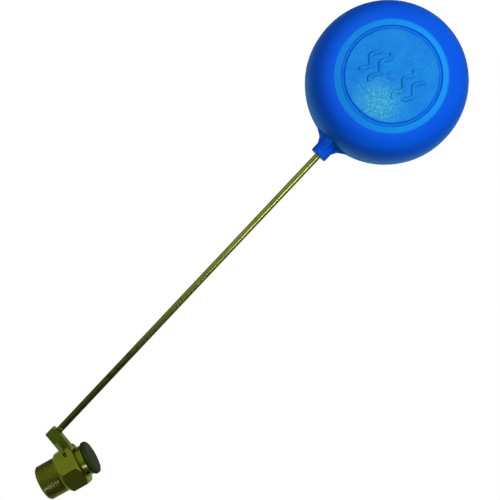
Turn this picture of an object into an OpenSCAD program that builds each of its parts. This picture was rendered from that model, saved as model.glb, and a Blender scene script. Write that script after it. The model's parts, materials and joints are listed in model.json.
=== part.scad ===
// Brass float valve with a slotted piston, a lever on a split pin, a rod and a hollow plastic float.
//
// Frame: the origin is on the inlet axis, in the plane where the inlet thread meets the hexagon.
// +X runs along the valve from the inlet to the screw cap, +Z is up in use, and the lever turns
// about an axis along Y. The float hangs in its lowest position, with the valve fully open.
// All sizes are in millimetres and degrees.

/* [Inlet] */
// Outside diameter of the inlet thread
inlet_d = 26.44; // [20:0.02:30]
// Length of the inlet thread
inlet_len = 15.7; // [13:0.1:24]
// Diameter of the waterway in front of the nozzle
waterway_d = 16.4; // [13:0.1:18]
// Thickness of the wall that the nozzle screws into
partition_t = 3.0; // [2:0.1:5]

/* [Body] */
// Width of the hexagon across its flats
hex_af = 30; // [28:0.1:40]
// Length of the hexagon
hex_len = 16.5; // [15:0.1:26]
// Chamfer of the hexagon's corners at the cap end
hex_chamfer = 2.1; // [0.5:0.1:3]
// Diameter of the neck behind the hexagon
neck_d = 23.0; // [22.5:0.1:27.5]
// Length of the neck
neck_len = 4.9; // [4:0.1:9]
// Diameter of the bore that guides the piston
bore_d = 16.0; // [14:0.1:17]
// Diameter of the thread that carries the cap
cap_thread_d = 21.0; // [20:0.1:22.4]
// Length of the thread that carries the cap
cap_thread_len = 2.2; // [2:0.1:7]
// Diameter of each discharge hole in the neck
port_d = 3.0; // [1.5:0.1:3.6]

/* [Nozzle] */
// Diameter of the nozzle's threaded shank
nozzle_shank_d = 11.0; // [9:0.1:12]
// Diameter of the hole that the water comes through
orifice_d = 5.0; // [2:0.1:6]
// Outside diameter of the lip that the rubber washer shuts against
lip_d = 7.2; // [6.8:0.1:8.6]
// Height of the lip above the nozzle's flange
lip_h = 1.4; // [0.8:0.1:2]
// Thickness of the nozzle's flange
nozzle_flange_t = 1.0; // [0.8:0.1:2]
// Thickness of the fibre washer under the flange
nozzle_washer_t = 0.8; // [0.5:0.1:1.5]

/* [Piston] */
// Thickness of the rubber seat washer
seat_washer_t = 2.5; // [1.5:0.1:3]
// Diameter of the rubber seat washer
seat_washer_d = 12.0; // [10.6:0.1:12.6]
// Outside diameter of the ring nut that holds the washer
retainer_d = 15.2; // [13.4:0.1:15.4]
// Length of the ring nut
retainer_len = 7.0; // [5.5:0.1:7.6]
// Distance across the flats that let water past the piston
piston_flats = 14.2; // [12.5:0.1:15.4]

/* [Lever] */
// Distance of the pivot pin below the inlet axis
pivot_drop = 12.0; // [11:0.1:13]
// Distance of the pivot pin from the origin, along the inlet axis
pivot_x = 10.6; // [9.5:0.1:11]
// Lean of the lever from the vertical with the float down
lever_lean = 10.5; // [8:0.1:12]
// Thickness of the lever's arm
lever_t = 8.0; // [7:0.1:9]
// Thickness of the lever's toe
toe_t = 5.0; // [4:0.1:6]
// Diameter of the round toe that works in the piston's slot
toe_d = 6.7; // [6:0.1:7.4]
// Width of the toe's neck
toe_neck_w = 3.4; // [2.4:0.1:3.6]
// Width of the arm on the inlet side of the pivot
arm_inner_w = 3.2; // [2.8:0.1:3.6]
// Width of the arm on the cap side of the pivot
arm_outer_w = 5.7; // [5:0.1:6.1]
// Length of the arm below the pivot
arm_len = 20.6; // [19.5:0.1:30]
// Distance from the pivot down the arm to the rod's hole
rod_hole_drop = 15.7; // [12:0.1:16]
// Diameter of the split pin
pin_d = 2.5; // [1.6:0.1:3]

/* [Rod and float] */
// Diameter of the rod
rod_d = 5.0; // [4:0.1:5.6]
// Length of the rod, thread ends included
rod_len = 300; // [150:1:450]
// Angle of the rod below the horizontal with the float down
rod_droop = 17.4; // [8:0.1:25]
// Depth of the rod in the lever
rod_in_lever = 7.5; // [6:0.1:8]
// Depth of the rod in the float's insert
rod_in_float = 16.5; // [10:0.1:17]
// Diameter of the float
float_d = 118; // [90:1:160]
// Thickness of the float from face to face
float_t = 71; // [50:1:100]
// Wall thickness of the float
float_wall = 2.5; // [1.5:0.1:4]
// Diameter of the flat round face
face_d = 66.6; // [40:0.1:72]
// Width of the ring groove round the face
groove_w = 2.0; // [1:0.1:4]
// Depth of the ring groove
groove_depth = 0.9; // [0.4:0.1:1.4]
// Width of the bevelled rim outside the groove
rim_w = 4.2; // [2:0.1:6]
// Diameter of the float's boss
boss_d = 13; // [12:0.1:18]
// Height of the boss outside the float's largest circle
boss_h = 13.2; // [10:0.1:20]
// Thickness of the webs beside the boss
web_t = 3.0; // [2:0.1:5]

/* [Cap] */
// Outside diameter of the screw cap
cap_d = 25.4; // [25:0.1:30]
// Thickness of the cap's end wall at its centre
cap_end_t = 1.6; // [1.4:0.1:4]
// Thickness of the fibre ring under the cap
cap_washer_t = 0.5; // [0.5:0.1:1.5]

/* [Fits] */
// Radial clearance of a piece that slides or turns
run_gap = 0.08; // [0.03:0.01:0.1]
// Radial clearance of a screwed or moulded-in piece
screw_gap = 0.05; // [0.02:0.01:0.1]
// Clearance at each side of the lever in its slots
slot_gap = 0.25; // [0.15:0.01:0.4]
// Gap left at a stop
stop_gap = 0.25; // [0.1:0.01:0.4]
// Gap between the washer and the nozzle's lip with the valve shut
shut_gap = 0.1; // [0.05:0.01:0.2]

/* [Hidden] */
$fn = 96;
eps = 0.01;
over = 1;

brass = [0.66, 0.62, 0.24];
dull_brass = [0.52, 0.48, 0.2];
dark_plastic = [0.07, 0.09, 0.08];
fibre = [0.55, 0.2, 0.12];
rubber = [0.09, 0.09, 0.09];
float_blue = [0.02, 0.32, 0.78];
steel = [0.62, 0.63, 0.55];

// Body, along X
hex_r = hex_af / 2 / cos(30);
neck_end = hex_len + neck_len;
body_end = neck_end + cap_thread_len;
bore_r = bore_d / 2;
cap_inner_x = body_end + cap_washer_t;
lead = 1.2;
hex_lead_r = inlet_d / 2 + 0.4;

// Pivot and travel: the toe swings as far to one side of the vertical as to the other
toe_reach = pivot_drop;
lever_swing = 2 * lever_lean;
toe_rest_x = pivot_x + toe_reach * sin(lever_lean);
travel = 2 * toe_reach * sin(lever_lean);

// Piston stack, from the toe's slot forwards to the washer's face and back to the cap
slot_half = toe_d / 2 + 0.15;
piston_r = bore_r - run_gap;
retainer_back = toe_rest_x - slot_half - 1.7;
retainer_front = retainer_back - retainer_len;
retainer_lip_t = 0.95;
washer_face = retainer_front + retainer_lip_t;
nose_front = washer_face + seat_washer_t;
nose_r = seat_washer_d / 2;
piston_back = cap_inner_x - stop_gap;

// Nozzle, placed so that the washer meets its lip at the end of the travel
lip_x = washer_face - travel - shut_gap;
flange_front = lip_x - lip_h;
flange_back = flange_front - nozzle_flange_t;
partition_front = flange_back - nozzle_washer_t;
partition_back = partition_front - partition_t;
nozzle_back = partition_back + 0.2;
nozzle_flange_r = bore_r - 0.8;

// Lever slot in the body, wide enough for both ends of the swing
slot_inlet_x = pivot_x - arm_inner_w / cos(lever_lean) - 4 * tan(lever_lean) - slot_gap;
slot_cap_x = pivot_x + arm_outer_w + 4 * tan(lever_lean) + slot_gap + 0.1;
slot_w = lever_t + 2 * slot_gap;
arm_top = (toe_reach - piston_r - 0.3 - arm_outer_w * sin(lever_lean)) / cos(lever_lean);
arm_taper = 1.3;
arm_taper_len = 5.6;

// Split pin: the hole's mouths lie on the sloping flats of the hexagon
pin_mouth_y = (hex_r - pivot_drop / tan(60));
pin_out = 1.5;
pin_leg_d = pin_d / 2;
pin_leg_len = 9.4;
pin_leg_tilt = 8;
pin_eye_d = 5.2;

// Turns about the valve's axis of the two ports, which are drilled across the neck in line
port_turns = [135, 315];
// Rod line: it starts where the rod enters the arm and points to the float's centre
entry_x = pivot_x + arm_outer_w * cos(lever_lean) - rod_hole_drop * sin(lever_lean);
entry_z = -pivot_drop - arm_outer_w * sin(lever_lean) - rod_hole_drop * cos(lever_lean);
boss_end = rod_len - rod_in_lever - rod_in_float;
float_s = boss_end + boss_h + float_d / 2;
insert_r = 4.5;
insert_len = rod_in_float + 2.5;
boss_wall = 2;
web_reach = 18.5;
rib_t = 2.6;
rib_reach = 14;

// Float profile: r is the distance from the float's axis, y the height above its parting plane
float_r = float_d / 2;
half_t = float_t / 2;
face_r = face_d / 2;
groove_r = face_r + groove_w;
rim_r = groove_r + rim_w;
rim_drop = 1.9;
shoulder_top = half_t - rim_drop;

// Points of the shoulder, from the parting plane up to the rim, as a quarter of a superellipse
function shoulder(r_out, r_in, y_top, steps = 20) =
    [for (i = [0 : steps])
        let (a = 90 * i / steps)
        [r_in + (r_out - r_in) * pow(cos(a), 0.84), y_top * pow(sin(a), 0.84)]];

module along_x() rotate([0, 90, 0]) children();

// Tube or disc along X between two planes
module ring_x(x0, x1, r, r_in = 0) {
    translate([x0, 0, 0]) along_x() difference() {
        cylinder(r = r, h = x1 - x0);
        if (r_in > 0) translate([0, 0, -over]) cylinder(r = r_in, h = x1 - x0 + 2 * over);
    }
}

// Solid of revolution about X from [x, r] points
module turned(points) {
    along_x() rotate_extrude() polygon([for (p = points) [p[1], p[0]]]);
}

module hexagon() {
    intersection() {
        along_x() rotate([0, 0, 30]) cylinder(r = hex_r, h = hex_len, $fn = 6);
        turned([[0, 0], [0, hex_lead_r], [hex_r + over - hex_lead_r, hex_r + over],
                [hex_len - hex_chamfer - over, hex_r + over], [hex_len, hex_r - hex_chamfer],
                [hex_len, 0]]);
    }
}

module valve_body() {
    color(brass) difference() {
        union() {
            turned([[-inlet_len, 0], [-inlet_len, inlet_d / 2 - lead], [-inlet_len + lead, inlet_d / 2],
                    [eps, inlet_d / 2], [eps, 0]]);
            hexagon();
            ring_x(hex_len - eps, neck_end, neck_d / 2);
            turned([[neck_end - eps, 0], [neck_end - eps, cap_thread_d / 2],
                    [body_end - 0.5, cap_thread_d / 2], [body_end, cap_thread_d / 2 - 0.5],
                    [body_end, 0]]);
        }
        ring_x(-inlet_len - over, partition_back, waterway_d / 2);
        ring_x(partition_back - over, partition_front + over, nozzle_shank_d / 2);
        ring_x(partition_front, body_end + over, bore_r);
        translate([slot_inlet_x, -slot_w / 2, -hex_r])
            cube([slot_cap_x - slot_inlet_x, slot_w, hex_r - bore_r / 2]);
        translate([pivot_x, 0, -pivot_drop]) rotate([90, 0, 0])
            cylinder(d = pin_d + 2 * run_gap, h = 2 * hex_r, center = true);
        for (a = port_turns) rotate([a, 0, 0])
            translate([hex_len + neck_len / 2 - 0.2, 0, 0]) cylinder(d = port_d, h = neck_d);
    }
}

module seat_nozzle() {
    color(dull_brass) difference() {
        turned([[nozzle_back, 0], [nozzle_back, nozzle_shank_d / 2 - screw_gap],
                [flange_back, nozzle_shank_d / 2 - screw_gap], [flange_back, nozzle_flange_r],
                [flange_front, nozzle_flange_r], [flange_front, lip_d / 2 + 0.5],
                [lip_x - 0.3, lip_d / 2], [lip_x, lip_d / 2 - 0.3], [lip_x, 0]]);
        ring_x(nozzle_back - over, lip_x + over, orifice_d / 2);
        turned([[nozzle_back - eps, 0], [nozzle_back - eps, orifice_d / 2 + 1.5],
                [nozzle_back + 1.5, orifice_d / 2], [nozzle_back + 1.5, 0]]);
    }
}

module nozzle_washer() {
    color(fibre) ring_x(partition_front, flange_back, nozzle_flange_r, nozzle_shank_d / 2 + screw_gap);
}

module piston() {
    color(dull_brass) difference() {
        union() {
            intersection() {
                turned([[retainer_back, 0], [retainer_back, piston_r - 0.3], [retainer_back + 0.3, piston_r],
                        [piston_back - 0.6, piston_r], [piston_back, piston_r - 0.6], [piston_back, 0]]);
                rotate([45, 0, 0]) translate([retainer_back - over, -piston_flats / 2, -piston_flats / 2])
                    cube([piston_back - retainer_back + 2 * over, piston_flats, piston_flats]);
            }
            ring_x(nose_front, retainer_back + eps, nose_r);
        }
        translate([toe_rest_x - slot_half, -toe_t / 2 - slot_gap, -bore_r])
            cube([2 * slot_half, toe_t + 2 * slot_gap, 2 * bore_r]);
    }
}

module seat_washer() {
    color(rubber) ring_x(washer_face, nose_front, nose_r);
}

module washer_retainer() {
    color(brass) difference() {
        turned([[retainer_front, 0], [retainer_front, retainer_d / 2 - 0.6],
                [retainer_front + 0.6, retainer_d / 2], [retainer_back, retainer_d / 2], [retainer_back, 0]]);
        ring_x(washer_face, retainer_back + over, nose_r + screw_gap);
        ring_x(retainer_front - over, washer_face + over, lip_d / 2 + 1.3);
    }
}

module end_cap() {
    rim = 0.8;
    dome = 1.3;
    x1 = cap_inner_x + cap_end_t;
    color(dark_plastic) difference() {
        turned([[neck_end + stop_gap, 0], [neck_end + stop_gap, cap_d / 2 - rim],
                [neck_end + stop_gap + rim, cap_d / 2], [x1 - dome - 0.9, cap_d / 2],
                for (i = [1 : 6])
                    let (a = 90 * i / 7)
                    [x1 - dome - 0.9 + dome * sin(a), cap_d / 2 - 2.4 * (1 - cos(a))],
                [x1 - 0.4, cap_d / 2 - 3.2], [x1, cap_d / 5], [x1, 0]]);
        ring_x(neck_end - over, cap_inner_x, cap_thread_d / 2 + screw_gap);
    }
}

module cap_washer() {
    color(fibre) ring_x(body_end, cap_inner_x, cap_thread_d / 2 - 0.6, bore_r + 0.3);
}

// The split pin's shank crosses the body; its eye is behind and its legs come out in front
module pivot_pin() {
    y_front = pin_mouth_y + pin_out;
    y_back = -pin_mouth_y - pin_out;
    color(steel) translate([pivot_x, 0, -pivot_drop]) union() {
        translate([0, y_back, 0]) rotate([-90, 0, 0]) cylinder(d = pin_d, h = y_front - y_back);
        // eye
        translate([0, y_back - pin_eye_d / 2 + pin_leg_d * 0.6, 0]) rotate([0, 90, 0])
            rotate_extrude() translate([(pin_eye_d - pin_leg_d) / 2, 0]) circle(d = pin_leg_d);
        // bent leg and straight leg
        translate([0, y_front - pin_leg_d / 2, 0]) rotate([180 - pin_leg_tilt, 9, 0])
            cylinder(d = pin_leg_d, h = pin_leg_len);
        translate([0, y_front - eps, 0]) rotate([-90, 0, 0])
            cylinder(d = pin_leg_d, h = 1.4);
    }
}

// Places its children in the lever's own frame: x towards the cap, y down the arm, z along the pivot
module in_lever() {
    translate([pivot_x, 0, -pivot_drop]) rotate([0, lever_lean, 0]) rotate([-90, 0, 0]) children();
}

module lever_arm() {
    corner = 1.4;
    linear_extrude(lever_t, center = true) difference() {
        polygon([[-arm_inner_w, -arm_top + corner], [-arm_inner_w + corner, -arm_top],
                 [arm_outer_w - corner, -arm_top], [arm_outer_w, -arm_top + corner],
                 [arm_outer_w, arm_len - arm_taper_len], [arm_outer_w - arm_taper, arm_len],
                 [-arm_inner_w, arm_len - 0.8]]);
        circle(d = pin_d + 2 * run_gap);
    }
}

module lever_toe() {
    linear_extrude(toe_t, center = true) difference() {
        union() {
            translate([-toe_neck_w / 2, -toe_reach]) square([toe_neck_w, toe_reach]);
            translate([0, -toe_reach]) circle(d = toe_d);
        }
        circle(d = pin_d + 2 * run_gap);
    }
}

module lever() {
    color(brass) difference() {
        union() {
            in_lever() lever_arm();
            in_lever() lever_toe();
        }
        along_rod() translate([0, 0, -rod_in_lever - 0.3])
            cylinder(d = rod_d + 2 * screw_gap, h = rod_in_lever + 4);
    }
}

// Places its children with z along the rod, starting where the rod enters the lever
module along_rod() {
    translate([entry_x, 0, entry_z]) rotate([0, 90 + rod_droop, 0]) children();
}

module float_rod() {
    color(brass) along_rod() translate([0, 0, -rod_in_lever]) cylinder(d = rod_d, h = rod_len);
}

module float_insert() {
    color(dull_brass) along_rod() translate([0, 0, boss_end]) difference() {
        cylinder(r = insert_r, h = insert_len);
        translate([0, 0, -over]) cylinder(d = rod_d + 2 * screw_gap, h = rod_in_float + 0.5 + over);
    }
}

// Puts the float's own axis along Y, through the float's centre on the rod line; z points to the front
module at_float() {
    along_rod() translate([0, 0, float_s]) rotate([0, -90 - rod_droop, 0]) rotate([-90, 0, 0]) children();
}

// Outside of half a float, as a solid dome that stands on its parting plane
module float_dome() {
    rotate_extrude() polygon([[0, 0], for (p = shoulder(float_r, rim_r, shoulder_top)) p,
        [groove_r, half_t], [groove_r, half_t - groove_depth],
        [face_r, half_t - groove_depth], [face_r, half_t], [0, half_t]]);
}

// Hollow of half a float, one wall inside the dome
module float_hollow() {
    rotate_extrude() polygon([[0, -over], [float_r - float_wall, -over],
        for (p = shoulder(float_r - float_wall, rim_r - float_wall, shoulder_top - float_wall)) p,
        [0, shoulder_top - float_wall]]);
}

// Boss round the insert, closed at its inner end
module boss() {
    along_rod() translate([0, 0, boss_end]) cylinder(d = boss_d, h = insert_len + boss_wall);
}

// Webs beside the boss in the parting plane, and the ribs in front of it and behind it
module webs() {
    side = boss_end + 0.28 * boss_h;
    root = float_s - 0.93 * float_r;
    along_rod() {
        rotate([90, 0, 0]) linear_extrude(web_t, center = true)
            polygon([[-boss_d / 2 + 1, side + 3], [-boss_d / 2, side + 3], [-web_reach, root],
                     [-web_reach, root + 4], [web_reach, root + 4], [web_reach, root],
                     [boss_d / 2, side + 3], [boss_d / 2 - 1, side + 3]]);
        rotate([90, 0, 90]) linear_extrude(rib_t, center = true)
            polygon([[-boss_d / 2 - 0.5, side], [-rib_reach, root + 3], [-rib_reach, root + 9],
                     [rib_reach, root + 9], [rib_reach, root + 3], [boss_d / 2 + 0.5, side]]);
    }
}

// Half of the float with its half of the boss and webs; side is 1 in front and -1 behind
module float_half(side) {
    reach = 2 * web_reach + boss_d;
    depth = insert_len + boss_wall + boss_d;
    difference() {
        union() {
            at_float() rotate([side > 0 ? 0 : 180, 0, 0]) difference() {
                float_dome();
                float_hollow();
            }
            intersection() {
                union() {
                    difference() {
                        webs();
                        at_float() rotate([side > 0 ? 0 : 180, 0, 0]) float_hollow();
                    }
                    boss();
                }
                along_rod() translate([-reach / 2, side > 0 ? 0 : -reach, boss_end - over])
                    cube([reach, reach, depth]);
            }
        }
        along_rod() translate([0, 0, boss_end - over])
            cylinder(r = insert_r + screw_gap, h = insert_len + over);
    }
}

module float_front_shell() color(float_blue) float_half(1);

module float_rear_shell() color(float_blue) float_half(-1);

valve_body();
seat_nozzle();
nozzle_washer();
piston();
seat_washer();
washer_retainer();
end_cap();
cap_washer();
pivot_pin();
lever();
float_rod();
float_insert();
float_front_shell();
float_rear_shell();
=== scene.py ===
"""Looks of a brass float valve with a hollow blue float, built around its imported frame."""

from __future__ import annotations

import json
import logging
import math
from dataclasses import dataclass
from enum import Enum
from typing import Sequence

import bmesh
import bpy
from mathutils import Matrix, Vector


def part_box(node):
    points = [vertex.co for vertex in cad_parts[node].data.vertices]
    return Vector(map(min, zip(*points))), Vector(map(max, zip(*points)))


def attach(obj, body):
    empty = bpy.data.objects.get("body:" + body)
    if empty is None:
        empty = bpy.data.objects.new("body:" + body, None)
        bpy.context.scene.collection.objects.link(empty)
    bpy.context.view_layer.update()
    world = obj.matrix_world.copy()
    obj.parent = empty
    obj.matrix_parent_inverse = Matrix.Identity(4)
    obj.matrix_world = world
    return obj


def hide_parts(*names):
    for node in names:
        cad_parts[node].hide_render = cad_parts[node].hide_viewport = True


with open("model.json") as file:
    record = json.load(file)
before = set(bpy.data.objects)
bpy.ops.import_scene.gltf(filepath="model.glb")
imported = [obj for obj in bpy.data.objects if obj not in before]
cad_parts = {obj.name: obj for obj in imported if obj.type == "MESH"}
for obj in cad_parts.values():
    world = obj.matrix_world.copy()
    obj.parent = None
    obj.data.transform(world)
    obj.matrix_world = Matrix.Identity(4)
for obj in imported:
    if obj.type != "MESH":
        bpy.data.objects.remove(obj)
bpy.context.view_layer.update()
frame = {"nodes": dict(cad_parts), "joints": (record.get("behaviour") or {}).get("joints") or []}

LOG = logging.getLogger("float_valve")
Colour = tuple[float, float, float]
Point2 = tuple[float, float]
Piece = bpy.types.Object

MM = 0.001
PAST = 1.0 * MM  # how far a cutting tool reaches past the surface that it cuts
WEAR = "edge_wear"  # the mesh attribute that marks rubbed edges
WHITE: Colour = (1.0, 1.0, 1.0)

ALONG_X = Matrix.Rotation(math.pi / 2, 4, "Y")  # turns the local z axis to +X
ALONG_Y = Matrix.Rotation(-math.pi / 2, 4, "X")  # turns the local z axis to +Y
UNMOVED = Matrix.Identity(4)


# ---------------------------------------------------------------- node graphs


class Signal:
    """An output socket that takes part in arithmetic; each operator adds one Math node."""

    def __init__(self, graph: Graph, socket: bpy.types.NodeSocket) -> None:
        """Wraps a socket of a graph."""
        self.graph = graph
        self.socket = socket

    def _math(self, operation: str, *values: Signal | float) -> Signal:
        """Adds a Math node that works on the given values."""
        return self.graph.add("ShaderNodeMath", *values, operation=operation)

    def __add__(self, other: Signal | float) -> Signal:
        """Sum."""
        return self._math("ADD", self, other)

    __radd__ = __add__

    def __sub__(self, other: Signal | float) -> Signal:
        """Difference."""
        return self._math("SUBTRACT", self, other)

    def __rsub__(self, other: float) -> Signal:
        """Difference, reflected."""
        return self._math("SUBTRACT", other, self)

    def __mul__(self, other: Signal | float) -> Signal:
        """Product."""
        return self._math("MULTIPLY", self, other)

    __rmul__ = __mul__

    def __truediv__(self, other: Signal | float) -> Signal:
        """Quotient."""
        return self._math("DIVIDE", self, other)

    def __pow__(self, other: Signal | float) -> Signal:
        """Power."""
        return self._math("POWER", self, other)

    def clamp(self) -> Signal:
        """The value held between 0 and 1."""
        return self.graph.add("ShaderNodeClamp", self)

    def sine(self) -> Signal:
        """Sine of an angle in radians."""
        return self._math("SINE", self)

    def cosine(self) -> Signal:
        """Cosine of an angle in radians."""
        return self._math("COSINE", self)

    def fraction(self) -> Signal:
        """The part after the decimal point."""
        return self._math("FRACT", self)

    def size(self) -> Signal:
        """The value without its sign."""
        return self._math("ABSOLUTE", self)

    def at_most(self, other: Signal | float) -> Signal:
        """The smaller of the two values."""
        return self._math("MINIMUM", self, other)

    def smooth(self, low: float, high: float) -> Signal:
        """A soft step that rises from 0 at low to 1 at high."""
        step = (self, low, high, 0.0, 1.0)
        return self.graph.add("ShaderNodeMapRange", *step, interpolation_type="SMOOTHSTEP")


class Graph:
    """A node tree, of a material, a world or a modifier, with one way of adding nodes."""

    def __init__(self, tree: bpy.types.NodeTree) -> None:
        """Wraps a node tree."""
        self.tree = tree

    def add(
        self,
        kind: str,
        *values: object,
        out: int | str = 0,
        named: dict[str, object] | None = None,
        **settings: object,
    ) -> Signal:
        """Adds a node.

        Args:
            kind: the node's type.
            *values: values or signals of its inputs, in order; None leaves an input alone.
            out: the output that is wanted, by number or name.
            named: values or signals of inputs that are given by name.
            **settings: the node's own properties, which are set first.

        Returns:
            The chosen output.
        """
        node = self.tree.nodes.new(kind)
        for name, value in settings.items():
            setattr(node, name, value)
        for socket, value in zip(node.inputs, values):
            self.feed(socket, value)
        for name, value in (named or {}).items():
            self.feed(node.inputs[name], value)
        output = node.outputs[out] if node.outputs else None
        return Signal(self, output)

    def feed(self, socket: bpy.types.NodeSocket, value: object) -> None:
        """Links a signal to a socket, or sets the socket's own value."""
        if value is None:
            return
        if isinstance(value, Signal):
            self.tree.links.new(value.socket, socket)
            return
        if isinstance(value, tuple) and len(value) == 3 and socket.type == "RGBA":
            value = (*value, 1.0)
        socket.default_value = value

    def parts(self, vector: Signal) -> tuple[Signal, Signal, Signal]:
        """Splits a vector into its three components."""
        outputs = self.add("ShaderNodeSeparateXYZ", vector).socket.node.outputs
        return tuple(Signal(self, outputs[i]) for i in range(3))

    def vector(self, x: object, y: object, z: object) -> Signal:
        """Joins three components into a vector."""
        return self.add("ShaderNodeCombineXYZ", x, y, z)

    def noise(self, place: Signal, scale: float, detail: float = 3.0, rough: float = 0.55) -> Signal:
        """Cloudy noise between 0 and 1 at a place."""
        named = {"Vector": place, "Scale": scale, "Detail": detail, "Roughness": rough}
        return self.add("ShaderNodeTexNoise", named=named)

    def mix(self, factor: Signal | float, low: Signal | Colour, high: Signal | Colour) -> Signal:
        """Blends two colours."""
        node = self.tree.nodes.new("ShaderNodeMix")
        node.data_type = "RGBA"
        self.feed(node.inputs[0], factor)
        self.feed(node.inputs[6], low)
        self.feed(node.inputs[7], high)
        return Signal(self, node.outputs[2])

    def bump(self, height: Signal, distance: float, strength: float) -> Signal:
        """A surface normal raised by a height; distance is in metres."""
        named = {"Height": height, "Distance": distance, "Strength": strength}
        return self.add("ShaderNodeBump", named=named)


# ---------------------------------------------------------------- finishes


def start_material(name: str) -> tuple[bpy.types.Material, Graph]:
    """A new material with an empty node tree."""
    material = bpy.data.materials.new(name)
    material.use_nodes = True
    material.node_tree.nodes.clear()
    return material, Graph(material.node_tree)


def end_material(graph: Graph, **inputs: object) -> None:
    """Adds the surface shader and the output; the inputs' names have _ for a space."""
    named = {name.replace("_", " "): value for name, value in inputs.items()}
    shader = graph.add("ShaderNodeBsdfPrincipled", named=named)
    graph.add("ShaderNodeOutputMaterial", shader)


class Tooling(Enum):
    """How the marks of the tool run on a metal surface."""

    TURNED = "rings round the valve's axis"
    DRAWN = "fine lines along a rod"
    CAST = "no lines, a little pitted"


@dataclass(frozen=True)
class Brass:
    """Brass that has been machined and has tarnished a little.

    clean and tarnished are its two colours, share is how much of it is tarnished, rough is its mean
    roughness and tooling the direction of its tool marks. painted_shade_depth is how much painted shade
    darkens it towards low X, with the tarnished colour standing in for shade there; the painted shade
    fades out between the two places along X in painted_shade_span. feed is the step of the turning
    tool, and relief the depth that the bumps stand for.
    """

    name: str
    clean: Colour
    tarnished: Colour
    share: float
    rough: float
    tooling: Tooling
    painted_shade_depth: float = 0.0
    painted_shade_span: tuple[float, float] = (0.0, 1.0)
    feed: float = 0.6 * MM
    relief: float = 0.02 * MM

    def build(self) -> bpy.types.Material:
        """Builds the material."""
        material, g = start_material(self.name)
        place = g.add("ShaderNodeTexCoord", out="Object")
        clouds = g.noise(place, 95.0, 4.0)
        spots = g.noise(place, 640.0, 3.0, 0.7)
        fine = g.noise(place, 2600.0, 2.0)
        worn = g.add("ShaderNodeAttribute", out="Fac", attribute_name=WEAR) * spots.smooth(0.3, 0.55)
        tarnish_and_shade = (clouds.smooth(0.62 - 0.3 * self.share, 0.8 - 0.2 * self.share) * 0.65
                   + spots.smooth(0.5, 0.75) * 0.35)
        x, y, z = g.parts(place)
        # painted shade: darker towards low X, added into the tarnish mask with the tarnished colour
        if self.painted_shade_depth > 0:
            tarnish_and_shade = tarnish_and_shade * 0.6 + (1.0 - x.smooth(*self.painted_shade_span)) * self.painted_shade_depth
        tarnish_and_shade = (tarnish_and_shade * (1.0 - worn)).clamp()
        colour = g.mix(tarnish_and_shade, self.clean, self.tarnished)
        pits = spots.smooth(0.68, 0.78)
        colour = g.mix(pits * 0.35, colour, tuple(c * 0.4 for c in self.tarnished))
        colour = g.mix(worn * 0.5, colour, tuple(min(1.0, c * 1.25) for c in self.clean))
        rough = (tarnish_and_shade * 0.12 + clouds * 0.08 + (self.rough - 0.05)).clamp()
        height = fine * 0.03 + spots * 0.12
        if self.tooling is Tooling.TURNED:
            height = height + ((x + clouds * 0.1 * MM) * (math.tau / self.feed)).sine() * 0.12
        elif self.tooling is Tooling.DRAWN:
            stretched = g.vector(x * 0.03, y, z * 0.12)
            height = height + g.noise(stretched, 5200.0, 2.0) * 0.12
        else:
            height = height + g.noise(place, 1200.0, 3.0, 0.7) * 0.8 - pits * 0.5
        normal = g.bump(height, self.relief, 0.55)
        end_material(g, Base_Color=colour, Metallic=1.0, Roughness=rough, Normal=normal)
        return material


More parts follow.
